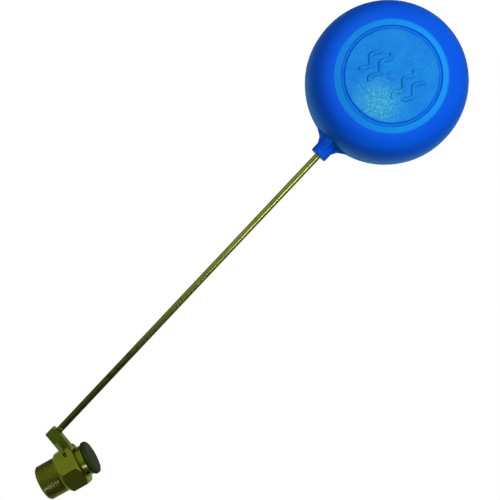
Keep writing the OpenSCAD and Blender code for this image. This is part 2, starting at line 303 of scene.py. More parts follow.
@dataclass(frozen=True)
class FloatPlastic:
    """Blue moulded polythene, its face inside the rim made paler by painted sheen, with fine scuffs.

    deep is its colour on the shoulder, pale is painted sheen on the face, rim is a painted highlight on
    the bevelled rim and painted_limb_reflection is a painted reflection in a band beside the parting line.
    chalk_and_glow is the colour of fine chalky marks on the face and of a painted highlight, a broad glow,
    on it. centre is a point on the float's axis, which runs along Y; face_r, groove_r, rim_r and edge_r
    are the radii at which the face, the groove round it, the rim and the float itself end. glow_place and
    glow_radius say where on the face the painted glow lies.
    """

    name: str
    deep: Colour
    pale: Colour
    painted_limb_reflection: Colour
    chalk_and_glow: Colour
    rim: Colour
    centre: Vector
    face_r: float
    groove_r: float
    rim_r: float
    edge_r: float
    glow_place: Point2 = (-17.5 * MM, 11.7 * MM)
    glow_radius: float = 24.0 * MM
    relief: float = 0.1 * MM

    def off(self, x: Signal, z: Signal, place: Point2 = (0.0, 0.0)) -> Signal:
        """Distance across the axis from a place beside the centre."""
        dx = x - (self.centre.x + place[0])
        dz = z - (self.centre.z + place[1])
        return (dx * dx + dz * dz) ** 0.5

    def build(self) -> bpy.types.Material:
        """Builds the material."""
        material, g = start_material(self.name)
        place = g.add("ShaderNodeTexCoord", out="Object")
        x, y, z = g.parts(place)
        radius = self.off(x, z)
        clouds = g.noise(place, 28.0, 3.0)
        grain = g.noise(place, 620.0, 3.0, 0.7)
        stipple = g.noise(place, 3200.0, 2.0)
        scuffs = g.noise(g.vector(x * 1.6, y, z * 0.35), 420.0, 4.0, 0.7).smooth(0.62, 0.78)
        inside = 1.0 - radius.smooth(self.rim_r - 0.8 * MM, self.rim_r + 1.6 * MM)
        patches = g.noise(place, 150.0, 4.0, 0.6).smooth(0.35, 0.7)
        # painted sheen: the face inside the rim is paler, as if lit from in front
        pale = (inside * (0.66 + patches * 0.34) + clouds * 0.2 - 0.06).clamp()
        colour = g.mix(pale, self.deep, self.pale)
        # painted highlight: the bevelled rim between the groove and the rim's edge is brighter
        rim = inside * radius.smooth(self.groove_r, self.groove_r + 0.6 * MM)
        colour = g.mix(rim * 0.8, colour, self.rim)
        # painted shade: darker along the face's edge and the groove's edges, where the creases are
        off_corner = (radius - self.face_r).size().at_most((radius - self.groove_r).size())
        corners = 1.0 - off_corner.smooth(0.2 * MM, 0.9 * MM)
        colour = g.mix(corners * 0.75, colour, self.deep)
        # painted reflection: a paler, greener band round the float's edge beside the parting line
        belt = radius.smooth(self.rim_r, self.rim_r + 15 * MM)
        belt = belt * (1.0 - radius.smooth(self.edge_r, self.edge_r + 2 * MM))
        painted_limb_reflection = (1.0 - y.size().smooth(8 * MM, 30 * MM)) * belt
        colour = g.mix(painted_limb_reflection * 0.6, colour, self.painted_limb_reflection)
        # painted highlight: a broad pale glow low on the face, with chalky specks gathered in it and a few
        # fine scuffs
        painted_glow = 1.0 - self.off(x, z, self.glow_place).smooth(0.0, self.glow_radius)
        face = 1.0 - radius.smooth(self.face_r - 2 * MM, self.face_r)
        speckle = grain.smooth(0.42, 0.72)
        chalk_and_glow = face * (speckle * (painted_glow * 0.8 + 0.12) + painted_glow * 0.2) + scuffs * inside * 0.08
        colour = g.mix(chalk_and_glow.clamp(), colour, self.chalk_and_glow)
        rough = (0.55 - face * 0.1 + grain * 0.12 + scuffs * 0.1).clamp()
        height = g.noise(place, 260.0, 2.0) * 1.4 + grain * (0.4 + inside * 0.7) + stipple * 0.15
        normal = g.bump(height, self.relief, 0.6)
        end_material(g, Base_Color=colour, Roughness=rough, Normal=normal, Specular_IOR_Level=0.07)
        return material


@dataclass(frozen=True)
class Moulding:
    """A plain moulded or pressed material, such as black plastic, rubber or red fibre.

    grain is the size of its surface grain as a noise scale, and speck how far its second colour shows.
    """

    name: str
    base: Colour
    second: Colour
    rough: float
    grain: float
    speck: float
    relief: float = 0.03 * MM

    def build(self) -> bpy.types.Material:
        """Builds the material."""
        material, g = start_material(self.name)
        place = g.add("ShaderNodeTexCoord", out="Object")
        clouds = g.noise(place, 120.0, 4.0)
        grain = g.noise(place, self.grain, 3.0, 0.6)
        share = (clouds.smooth(0.35, 0.75) * 0.6 + grain.smooth(0.55, 0.8) * 0.4) * self.speck
        colour = g.mix(share.clamp(), self.base, self.second)
        rough = (self.rough + clouds * 0.14 + grain * 0.08 - 0.1).clamp()
        normal = g.bump(grain + clouds * 0.6, self.relief, 0.5)
        end_material(g, Base_Color=colour, Roughness=rough, Normal=normal, Specular_IOR_Level=0.06)
        return material


# ---------------------------------------------------------------- mesh tools


def object_from(name: str, bm: bmesh.types.BMesh) -> Piece:
    """Makes an object of a bmesh, with its doubles merged and its faces turned outwards."""
    bmesh.ops.remove_doubles(bm, verts=bm.verts, dist=1e-7)
    bmesh.ops.recalc_face_normals(bm, faces=bm.faces)
    mesh = bpy.data.meshes.new(name)
    bm.to_mesh(mesh)
    bm.free()
    piece = bpy.data.objects.new(name, mesh)
    bpy.context.scene.collection.objects.link(piece)
    return piece


def bake_modifiers(piece: Piece) -> Piece:
    """Turns a piece's modifiers into a plain mesh and removes them."""
    graph = bpy.context.evaluated_depsgraph_get()
    graph.update()
    mesh = bpy.data.meshes.new_from_object(piece.evaluated_get(graph))
    piece.modifiers.clear()
    piece.data = mesh
    return piece


def combine(piece: Piece, operation: str, *tools: Piece) -> Piece:
    """Unites, cuts or intersects a piece with tools, which are used up."""
    for tool in tools:
        modifier = piece.modifiers.new("combine", "BOOLEAN")
        modifier.operation = operation
        modifier.solver = "EXACT"
        modifier.object = tool
        bake_modifiers(piece)
        bpy.data.objects.remove(tool)
    return piece


def soften(piece: Piece, width: float, segments: int = 3, angle: float = 32.0) -> Piece:
    """Rounds a piece's sharp edges to a small radius."""
    modifier = piece.modifiers.new("soften", "BEVEL")
    modifier.width = width
    modifier.segments = segments
    modifier.limit_method = "ANGLE"
    modifier.angle_limit = math.radians(angle)
    modifier.miter_outer = "MITER_ARC"
    return bake_modifiers(piece)


def shade(piece: Piece, angle: float = 35.0) -> Piece:
    """Shades a piece smooth, apart from its sharp edges, with flat faces kept flat."""
    piece.data.shade_smooth()
    piece.data.set_sharp_from_angle(angle=math.radians(angle))
    modifier = piece.modifiers.new("normals", "WEIGHTED_NORMAL")
    modifier.keep_sharp = True
    return bake_modifiers(piece)


def lathe(
    name: str, profile: Sequence[Point2], place: Matrix, steps: int = 96, ring: bool = False
) -> Piece:
    """Turns a profile about an axis.

    Args:
        name: the object's name.
        profile: pairs of a height along the axis and a radius; a solid's first and last radius is 0.
        place: puts the axis, which is the local z axis, where it belongs.
        steps: number of flats round the axis.
        ring: whether the profile is a closed loop that stays off the axis.

    Returns:
        The closed solid.
    """
    bm = bmesh.new()
    rows = []
    for height, radius in profile:
        if radius < 1e-9:
            rows.append([bm.verts.new(place @ Vector((0, 0, height)))] * steps)
            continue
        turn = [math.tau * i / steps for i in range(steps)]
        circle = [Vector((radius * math.cos(a), radius * math.sin(a), height)) for a in turn]
        rows.append([bm.verts.new(place @ point) for point in circle])
    pairs = list(zip(rows, rows[1:])) + ([(rows[-1], rows[0])] if ring else [])
    for low, high in pairs:
        for i in range(steps):
            j = (i + 1) % steps
            corners = [low[i], low[j], high[j], high[i]]
            unique = list(dict.fromkeys(corners))
            if len(unique) > 2:
                bm.faces.new(unique)
    return object_from(name, bm)


def prism(name: str, outline: Sequence[Point2], low: float, high: float, place: Matrix) -> Piece:
    """Extrudes an outline along the local z axis from low to high."""
    bm = bmesh.new()
    bottom = [bm.verts.new(place @ Vector((x, y, low))) for x, y in outline]
    top = [bm.verts.new(place @ Vector((x, y, high))) for x, y in outline]
    bm.faces.new(bottom)
    bm.faces.new(top)
    for i in range(len(outline)):
        j = (i + 1) % len(outline)
        bm.faces.new([bottom[i], bottom[j], top[j], top[i]])
    return object_from(name, bm)


def block(name: str, low: Sequence[float], high: Sequence[float], place: Matrix) -> Piece:
    """A box between two corners, in the frame of place."""
    outline = [(low[0], low[1]), (high[0], low[1]), (high[0], high[1]), (low[0], high[1])]
    return prism(name, outline, low[2], high[2], place)


def drill(
    name: str, radius: float, low: float, high: float, place: Matrix, steps: int = 48
) -> Piece:
    """A cylinder along the local z axis from low to high."""
    return lathe(name, [(low, 0), (low, radius), (high, radius), (high, 0)], place, steps)


def rounded(points: Sequence[Point2], radius: float, steps: int = 4, closed: bool = False) -> list[Point2]:
    """Rounds the corners of an outline or profile.

    Args:
        points: the corners.
        radius: the radius of each corner, less where its sides are short.
        steps: number of chords in each corner.
        closed: whether the last point joins the first.

    Returns:
        The points of the rounded outline.
    """
    count = len(points)
    result: list[Point2] = []
    for i, point in enumerate(points):
        if not closed and i in (0, count - 1):
            result.append(point)
            continue
        here = Vector(point)
        back = Vector(points[i - 1]) - here
        ahead = Vector(points[(i + 1) % count]) - here
        half = back.angle(ahead) / 2
        if half > math.radians(86):  # nearly straight
            result.append(point)
            continue
        reach = min(radius / math.tan(half), back.length * 0.48, ahead.length * 0.48)
        start = here + back.normalized() * reach
        end = here + ahead.normalized() * reach
        for k in range(steps + 1):
            t = k / steps
            spot = start * (1 - t) ** 2 + here * 2 * t * (1 - t) + end * t**2
            result.append((spot.x, spot.y))
    return result


def arc(centre: Point2, radius: float, start: float, end: float, steps: int) -> list[Point2]:
    """Points of an arc, with its angles in degrees."""
    turn = [math.radians(start + (end - start) * i / steps) for i in range(steps + 1)]
    return [(centre[0] + radius * math.cos(a), centre[1] + radius * math.sin(a)) for a in turn]


def mirrored(side: list[Point2]) -> list[Point2]:
    """Closes an outline with the mirror image of one side of it."""
    return side + [(-x, y) for x, y in reversed(side)]


# ---------------------------------------------------------------- geometry trees


class GeometryTree(Graph):
    """A modifier's node tree with named number inputs."""

    def __init__(self, name: str, inputs: dict[str, float]) -> None:
        """Makes the tree with its inputs and their defaults."""
        group = bpy.data.node_groups.new(name, "GeometryNodeTree")
        super().__init__(group)
        group.interface.new_socket("Geometry", in_out="INPUT", socket_type="NodeSocketGeometry")
        for title, value in inputs.items():
            socket = group.interface.new_socket(title, in_out="INPUT", socket_type="NodeSocketFloat")
            socket.default_value = value
        group.interface.new_socket("Geometry", in_out="OUTPUT", socket_type="NodeSocketGeometry")
        self.source = group.nodes.new("NodeGroupInput")

    def read(self, title: str) -> Signal:
        """The signal of a named input."""
        return Signal(self, self.source.outputs[title])

    def end(self, shape: Signal, material: bpy.types.Material) -> None:
        """Ends the tree in real geometry with its material."""
        real = self.add("GeometryNodeRealizeInstances", shape)
        dressed = self.add("GeometryNodeSetMaterial", real, named={"Material": material})
        self.add("NodeGroupOutput", dressed)

    def apply(self, name: str, values: dict[str, float]) -> Piece:
        """Runs the tree on a new object, with its named inputs set, and keeps the plain mesh."""
        piece = bpy.data.objects.new(name, bpy.data.meshes.new(name))
        bpy.context.scene.collection.objects.link(piece)
        modifier = piece.modifiers.new(name, "NODES")
        modifier.node_group = self.tree
        for item in self.tree.interface.items_tree:
            if item.in_out == "INPUT" and item.name in values:
                modifier[item.identifier] = float(values[item.name])
        return bake_modifiers(piece)


def thread_tree(material: bpy.types.Material, rows: int, columns: int) -> GeometryTree:
    """A tree that wraps a grid into a screw thread along local z.

    The thread's crests reach Radius and its roots lie Depth lower. It fades into a plain cylinder of
    radius Core over Runout at its top end, and starts with a chamfer Lead high at its bottom end.
    """
    sizes = {"Radius": 1.0, "Depth": 0.1, "Pitch": 0.2, "Length": 1.0}
    sizes |= {"Lead": 0.1, "Runout": 0.1, "Core": 1.0}
    tree = GeometryTree("screw_thread", sizes)
    radius, depth, pitch, length, lead, runout, core = (tree.read(title) for title in sizes)
    grid = tree.add("GeometryNodeMeshGrid", 1.0, 1.0, rows, columns)
    u, v, _ = tree.parts(tree.add("GeometryNodeInputPosition"))
    height = (u + 0.5) * length
    angle = (v + 0.5) * math.tau
    phase = (height / pitch - (v + 0.5)).fraction()
    flank = ((phase - 0.5).size() * 2.0).smooth(0.0, 0.34)
    fade = ((length - height) / runout).clamp()
    crest = core + (radius - depth * (1.0 - flank) - core) * fade
    chamfer = radius - lead + height
    reach = crest.at_most(chamfer)
    place = tree.vector(reach * angle.cosine(), reach * angle.sine(), height)
    bent = tree.add("GeometryNodeSetPosition", grid, None, place)
    tree.end(bent, material)
    return tree


def wave_tree(material: bpy.types.Material) -> GeometryTree:
    """A tree that sweeps a low rounded bead along a wavy line in the local xy plane."""
    sizes = {"Span": 1.0, "Height": 0.1, "Waves": 1.5, "Width": 0.1, "Relief": 0.05}
    tree = GeometryTree("wave_bead", sizes)
    span, rise, waves, width, relief = (tree.read(title) for title in sizes)
    line = tree.add("GeometryNodeCurvePrimitiveLine", named={"Start": (-0.5, 0, 0), "End": (0.5, 0, 0)})
    fine = tree.add("GeometryNodeResampleCurve", line, named={"Count": 64})
    x, _, _ = tree.parts(tree.add("GeometryNodeInputPosition"))
    place = tree.vector(x * span, (x * waves * math.tau).sine() * rise, 0.0)
    bent = tree.add("GeometryNodeSetPosition", fine, None, place)
    taper = 1.0 - ((x.size() * 2.0).smooth(0.93, 1.0)) * 0.75
    thick = taper * width
    swelled = tree.add("GeometryNodeSetCurveRadius", bent, named={"Radius": thick})
    ring = tree.add("GeometryNodeCurvePrimitiveCircle", named={"Resolution": 14, "Radius": 0.5})
    tube = tree.add("GeometryNodeCurveToMesh", swelled, ring, named={"Fill Caps": True})
    if "Scale" in tube.socket.node.inputs:
        tree.feed(tube.socket.node.inputs["Scale"], thick)
    px, py, pz = tree.parts(tree.add("GeometryNodeInputPosition"))
    low = tree.vector(px, py, pz * relief / width * 2.0)
    flat = tree.add("GeometryNodeSetPosition", tube, None, low)
    tree.end(flat, material)
    return tree


def weld(piece: Piece, place: Matrix, gap: float = 2e-6) -> Piece:
    """Welds the seams of a wrapped or swept mesh, closes its open ends and puts it in place."""
    bm = bmesh.new()
    bm.from_mesh(piece.data)
    bmesh.ops.remove_doubles(bm, verts=bm.verts, dist=gap)
    bmesh.ops.holes_fill(bm, edges=[e for e in bm.edges if e.is_boundary], sides=0)
    bmesh.ops.transform(bm, matrix=place, verts=bm.verts)
    bmesh.ops.recalc_face_normals(bm, faces=bm.faces)
    bm.to_mesh(piece.data)
    bm.free()
    return piece


# ---------------------------------------------------------------- the shared plan


@dataclass(frozen=True)
class Plan:
    """Places that several sub-assemblies share, read from the frame where it holds them.

    The lengths are in metres. The lever's own frame has x across the arm towards the cap, y down the
    arm and z along the pivot; the rod's own frame has z along the rod from its mouth in the lever.
    """

    pivot: Vector
    lever_lean: float = math.radians(10.5)
    droop: float = math.radians(17.4)
    arm_outer: float = 5.7 * MM
    rod_hole_drop: float = 15.7 * MM
    rod_in_lever: float = 7.5 * MM
    rod_length: float = 300.0 * MM
    rod_in_float: float = 16.5 * MM
    boss_height: float = 13.2 * MM

    @property
    def lever_place(self) -> Matrix:
        """Puts the lever's own frame in the row's frame."""
        turn = Matrix.Rotation(self.lever_lean, 4, "Y") @ Matrix.Rotation(-math.pi / 2, 4, "X")
        return Matrix.Translation(self.pivot) @ turn

    @property
    def rod_place(self) -> Matrix:
        """Puts the rod's own frame in the row's frame."""
        mouth = self.lever_place @ Vector((self.arm_outer, self.rod_hole_drop, 0))
        return Matrix.Translation(mouth) @ Matrix.Rotation(math.pi / 2 + self.droop, 4, "Y")

    @property
    def boss_end(self) -> float:
        """Distance along the rod from the lever to the float's boss."""
        return self.rod_length - self.rod_in_lever - self.rod_in_float


def mark_wear(piece: Piece) -> None:
    """Marks the narrow faces of rounded edges, which rub bright, in an attribute of the mesh."""
    bm = bmesh.new()
    bm.from_mesh(piece.data)
    low, high = math.radians(12), math.radians(75)
    widest = 0.4 * MM
    worn = []
    for face in bm.faces:
        border = sum(e.calc_length() for e in face.edges)
        turned = sum(e.calc_length() for e in face.edges if low < e.calc_face_angle(0.0) < high)
        narrow = 2 * face.calc_area() < widest * border
        worn.append(1.0 if narrow and turned > 0.4 * border else 0.0)
    bm.free()
    attribute = piece.data.attributes.new(WEAR, "FLOAT", "FACE")
    attribute.data.foreach_set("value", worn)


def finish_piece(
    piece: Piece,
    body: str,
    slot: str,
    material: bpy.types.Material,
    *nodes: str,
) -> Piece:
    """Dresses a finished piece, hangs it on its body's empty and hides the CAD nodes that it stands for.

    Args:
        piece: the finished mesh.
        body: the body that it rides on.
        slot: not used.
        material: its material.
        *nodes: the CAD nodes that it stands for.

    Returns:
        The piece.
    """
    piece.data.materials.clear()
    piece.data.materials.append(material)
    mark_wear(piece)
    for polygon in piece.data.polygons:
        polygon.material_index = 0
    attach(piece, body)
    if nodes:
        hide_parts(*nodes)
    LOG.info("%s: %d faces, on %s", piece.name, len(piece.data.polygons), body)
    return piece


# ---------------------------------------------------------------- sub-assemblies


@dataclass
class Valve:
    """The brass body with its threaded inlet, hexagon, neck and discharge holes."""

    plan: Plan
    brass: Brass
    hex_length: float = 16.5 * MM
    hex_lead: float = 0.4 * MM
    hex_chamfer: float = 2.1 * MM
    neck_radius: float = 11.5 * MM
    neck_end: float = 21.4 * MM
    cap_thread_radius: float = 10.5 * MM
    bore_radius: float = 8.0 * MM
    waterway_radius: float = 8.2 * MM
    partition: tuple[float, float] = (-9.14 * MM, -6.14 * MM)
    nozzle_radius: float = 5.5 * MM
    thread_radius: float = 13.22 * MM
    pitch: float = 1.814 * MM
    slot_x: tuple[float, float] = (6.4 * MM, 17.39 * MM)
    slot_half: float = 4.25 * MM
    slot_z: tuple[float, float] = (-20.0 * MM, -4.0 * MM)
    pin_hole: float = 1.33 * MM
    port_radius: float = 1.5 * MM
    port_x: float = 18.75 * MM
    port_turns: tuple[float, float] = (135.0, 315.0)
    outer: float = 20.0 * MM

    def hexagon(self) -> Piece:
        """The hexagon, with its corners chamfered as on a lathe."""
        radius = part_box("valve_body")[1].y
        corners = [math.radians(90 + 60 * k) for k in range(6)]
        outline = [(radius * math.cos(a), radius * math.sin(a)) for a in corners]
        nut = prism("valve_body_shell", outline, 0.0, self.hex_length, ALONG_X)
        spare = radius + PAST
        lead_radius = self.thread_radius + self.hex_lead
        profile = [
            (-PAST, 0.0),
            (-PAST, lead_radius - PAST),
            (spare - lead_radius, spare),
            (self.hex_length - self.hex_chamfer - PAST, spare),
            (self.hex_length + PAST, radius - self.hex_chamfer - PAST),
            (self.hex_length + PAST, 0.0),
        ]
        return combine(nut, "INTERSECT", lathe("turning", profile, ALONG_X, 160))

    def neck(self) -> Piece:
        """The neck and the plain spigot that carries the cap."""
        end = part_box("valve_body")[1].x
        bevel = 0.3 * MM
        foot = self.hex_length + 0.05 * MM
        profile = [
            (self.hex_length - PAST, 0.0),
            (self.hex_length - PAST, self.neck_radius - bevel),
            (foot, self.neck_radius - bevel),
            (foot + bevel, self.neck_radius),
            (self.neck_end - bevel, self.neck_radius),
            (self.neck_end, self.neck_radius - bevel),
            (self.neck_end, self.cap_thread_radius),
            (end - 0.5 * MM, self.cap_thread_radius),
            (end, self.cap_thread_radius - 0.5 * MM),
            (end, 0.0),
        ]
        return lathe("neck", profile, ALONG_X, 128)

    def inlet_thread(self, material: bpy.types.Material) -> Piece:
        """The inlet's screw thread as one closed solid that reaches just into the hexagon."""
        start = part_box("valve_body")[0].x
        length = 0.3 * MM - start
        tree = thread_tree(material, 132, 145)
        depth = 0.3 * self.pitch
        values = {
            "Radius": self.thread_radius,
            "Depth": depth,
            "Pitch": self.pitch,
            "Length": length,
            "Lead": 1.3 * MM,
            "Runout": 1.6 * MM,
            "Core": self.thread_radius - 1.05 * depth,
        }
        coil = tree.apply("inlet_thread", values)
        return weld(coil, Matrix.Translation((start, 0, 0)) @ ALONG_X)

    def build(self) -> Piece:
        """Builds the body, stands it for its CAD node and returns it."""
        material = self.brass.build()
        low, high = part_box("valve_body")
        shell = combine(self.hexagon(), "UNION", self.neck())
        bore = drill("bore", self.bore_radius, 0.5 * MM, high.x + PAST, ALONG_X, 96)
        slot_low = (self.slot_x[0], -self.slot_half, self.slot_z[0])
        slot_high = (self.slot_x[1], self.slot_half, self.slot_z[1])
        slot = block("slot", slot_low, slot_high, UNMOVED)
        across = Matrix.Translation(self.plan.pivot) @ ALONG_Y
        pin_hole = drill("pin_hole", self.pin_hole, -self.outer, self.outer, across, 32)
        ports = []
        for turn in self.port_turns:
            place = Matrix.Rotation(math.radians(turn), 4, "X") @ Matrix.Translation((self.port_x, 0, 0))
            ports.append(drill("port", self.port_radius, 0.0, self.outer, place, 32))
        combine(shell, "DIFFERENCE", bore, slot, pin_hole, *ports)
        soften(shell, 0.22 * MM, 2)
        combine(shell, "UNION", self.inlet_thread(material))
        back, front = self.partition
        countersink = 0.6 * MM
        waterway_profile = [
            (low.x - PAST, 0.0),
            (low.x - PAST, self.waterway_radius + countersink + PAST),
            (low.x + countersink, self.waterway_radius),
            (back, self.waterway_radius),
            (back, 0.0),
        ]
        waterway = lathe("waterway", waterway_profile, ALONG_X)
        seat_hole = drill("seat_hole", self.nozzle_radius, back - PAST, front + PAST, ALONG_X, 64)
        chamber = drill("chamber", self.bore_radius + 0.02 * MM, front, 0.9 * MM, ALONG_X, 96)
        combine(shell, "DIFFERENCE", waterway, seat_hole, chamber)
        return finish_piece(shade(shell), "valve", "body_brass", material, "valve_body")


@dataclass
class Cap:
    """The dark screw cap."""

    plastic: Moulding
    inner_radius: float = 10.55 * MM
    inner_end: float = 24.1 * MM
    dome: float = 1.4 * MM
    crown_height: float = 2.3 * MM
    crown_depth: float = 2.6 * MM
    dimple_radius: float = 1.3 * MM
    dimple_depth: float = 0.25 * MM

    def crown(self, edge: float, radius: float) -> list[Point2]:
        """Heights and radii of the oval shoulder, from the side inwards."""
        low = edge - 0.5 * MM
        inner = radius - self.crown_depth
        turn = [math.radians(4 + 58 * i / 7) for i in range(8)]
        rise, reach = self.crown_height, self.crown_depth
        return [(low + rise * math.sin(a), inner + reach * math.cos(a)) for a in turn]

    def build(self) -> None:
        """Builds the cap and stands it for its CAD node."""
        low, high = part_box("end_cap")
        radius = high.y
        edge = high.x - self.dome
        profile = [
            (self.inner_end, 0.0),
            (self.inner_end, self.inner_radius),
            (low.x, self.inner_radius),
            (low.x, radius - 0.7 * MM),
            (low.x + 0.7 * MM, radius),
            (edge - 1.2 * MM, radius),
            *self.crown(edge, radius),
            (high.x - self.dimple_depth, radius * 0.62),
            (high.x, radius * 0.3),
            (high.x, self.dimple_radius + 0.3 * MM),
            (high.x - self.dimple_depth, self.dimple_radius),
            (high.x - self.dimple_depth, 0.0),
        ]
        cap = lathe("end_cap_moulding", rounded(profile, 0.3 * MM), ALONG_X, 128)
        finish_piece(shade(cap, 40), "valve", "cap_plastic", self.plastic.build(), "end_cap")


@dataclass
class SplitPin:
    """The split pin: two half-round legs, an eye behind the body and one leg bent over in front."""

    plan: Plan
    brass: Brass
    radius: float = 1.2 * MM
    mouth: float = 10.39 * MM
    proud: float = 1.5 * MM
    bent: float = 9.4 * MM
    stub: float = 1.7 * MM
    eye: float = 2.1 * MM
    knee: float = 1.3 * MM
    tilt: float = math.radians(8)
    lean: float = math.radians(9)

    def path(self) -> list[Point2]:
        """The wire's line as pairs of a distance along the pivot and a distance along the bent leg."""
        half = self.radius * 0.52
        front = self.mouth + self.proud - self.radius * 0.6
        back = -(self.mouth + 0.9 * MM)
        tip = (front - self.bent * math.sin(self.tilt), half + self.bent * math.cos(self.tilt))
        knee = arc((front - self.knee, half + self.knee), self.knee, 0, -90, 6)
        loop = arc((back - self.eye * 1.15, 0.0), self.eye, 32, 328, 20)
        return [tip, *knee, (back, half), *loop, (back, -half), (self.mouth + self.stub, -half)]

    def build(self) -> None:
        """Sweeps the half-round wire and stands it for its CAD node."""
        down = Vector((-math.sin(self.lean), 0, -math.cos(self.lean)))
        along = Vector((0, 1, 0))
        side = down.cross(along).normalized()
        points = rounded(self.path(), 0.6 * MM, 3)
        section = arc((0.0, 0.0), self.radius, 0, 180, 8)
        flat = [(x * 0.95, y * 0.92) for x, y in section]
        shift = -self.radius * 0.48
        bm = bmesh.new()
        rows = []
        for i, point in enumerate(points):
            ahead = Vector(points[min(i + 1, len(points) - 1)]) - Vector(points[max(i - 1, 0)])
            left = Vector((ahead.y, -ahead.x)).normalized()
            centre = self.plan.pivot + along * point[0] + down * point[1]
            outward = (along * left.x + down * left.y).normalized()
            rows.append([bm.verts.new(centre + side * x - outward * (shift + y)) for x, y in flat])
        count = len(flat)
        for low, high in zip(rows, rows[1:]):
            for k in range(count):
                m = (k + 1) % count
                bm.faces.new([low[k], low[m], high[m], high[k]])
        bm.faces.new(rows[0])
        bm.faces.new(rows[-1])
        pin = shade(soften(object_from("split_pin_wire", bm), 0.08 * MM, 2, 50))
        finish_piece(pin, "valve", "pin_brass", self.brass.build(), "pivot_pin")


@dataclass
class Lever:
    """The flat lever: a thick arm below the pivot and a thinner toe above it."""

    plan: Plan
    brass: Brass
    inner: float = 3.2 * MM
    length: float = 20.6 * MM
    top: float = 2.76 * MM
    taper: tuple[float, float] = (1.3 * MM, 5.6 * MM)
    thickness: float = 8.0 * MM
    toe_thickness: float = 5.0 * MM
    toe_reach: float = 12.0 * MM
    toe_radius: float = 3.35 * MM
    toe_neck: float = 1.7 * MM
    pin_hole: float = 1.33 * MM
    corner: float = 1.4 * MM
    socket_radius: float = 2.55 * MM
    socket_flare: float = 4.0 * MM

    def build(self) -> None:
        """Builds the lever and stands it for its CAD node."""
        place = self.plan.lever_place
        outer = self.plan.arm_outer
        corner = self.corner
        outline = [
            (-self.inner, corner - self.top),
            (corner - self.inner, -self.top),
            (outer - corner, -self.top),
            (outer, corner - self.top),
            (outer, self.length - self.taper[1]),
            (outer - self.taper[0], self.length),
            (-self.inner, self.length - 0.8 * MM),
        ]
        half = self.thickness / 2
        arm = prism("lever_casting", rounded(outline, 0.5 * MM, 3, closed=True), -half, half, place)
        soften(arm, 0.35 * MM, 3)
        waist = math.degrees(math.asin(self.toe_neck / self.toe_radius))
        head = arc((0.0, -self.toe_reach), self.toe_radius, 90 - waist, waist - 270, 40)
        half = self.toe_thickness / 2
        foot = [(-self.toe_neck, 1.0 * MM), (self.toe_neck, 1.0 * MM)]
        toe = prism("toe", [*head, *foot], -half, half, place)
        combine(arm, "UNION", soften(toe, 0.25 * MM, 2))
        across = drill("across", self.pin_hole, -9 * MM, 9 * MM, place, 32)
        bottom = -self.plan.rod_in_lever - 0.3 * MM
        socket_profile = [
            (bottom, 0.0),
            (bottom, self.socket_radius),
            (-1.1 * MM, self.socket_radius),
            (0.6 * MM, self.socket_flare),
            (3.0 * MM, self.socket_flare),
            (3.0 * MM, 0.0),
        ]
        socket = lathe("socket", socket_profile, self.plan.rod_place, 64)
        combine(arm, "DIFFERENCE", across, socket)
        finish_piece(shade(arm), "float_arm", "lever_brass", self.brass.build(), "lever")


@dataclass
class Rod:
    """The straight rod, threaded at both ends."""

    plan: Plan
    brass: Brass
    radius: float = 2.5 * MM
    pitch: float = 0.8 * MM
    shown: float = 3.2 * MM

    def thread(self, tree: GeometryTree, length: float, place: Matrix) -> Piece:
        """One threaded end, which starts at the rod's tip."""
        values = {
            "Radius": self.radius,
            "Depth": 0.6 * self.pitch,
            "Pitch": self.pitch,
            "Length": length,
            "Lead": 0.5 * MM,
            "Runout": 0.9 * MM,
            "Core": self.radius - 0.4 * MM,
        }
        return weld(tree.apply("rod_thread", values), place)

    def build(self) -> Piece:
        """Builds the rod, stands it for its CAD node and returns it."""
        material = self.brass.build()
        tree = thread_tree(material, 200, 41)
        start = -self.plan.rod_in_lever
        end = start + self.plan.rod_length
        near = self.plan.rod_in_lever + self.shown
        far = self.plan.rod_in_float + self.shown * 0.6
        lap = 0.5 * MM
        low, high = start + near - lap, end - far + lap
        chamfer = 0.25 * MM
        place = self.plan.rod_place
        shank_profile = [
            (low, 0.0),
            (low, self.radius - chamfer),
            (low + chamfer, self.radius),
            (high - chamfer, self.radius),
            (high, self.radius - chamfer),
            (high, 0.0),
        ]
        shank = lathe("rod_shank", shank_profile, place, 40)
        back = place @ Matrix.Translation((0, 0, end)) @ Matrix.Rotation(math.pi, 4, "X")
        first = self.thread(tree, near, place @ Matrix.Translation((0, 0, start)))
        combine(shank, "UNION", first, self.thread(tree, far, back))
        return finish_piece(shade(shank), "float_arm", "rod_brass", material, "float_rod")


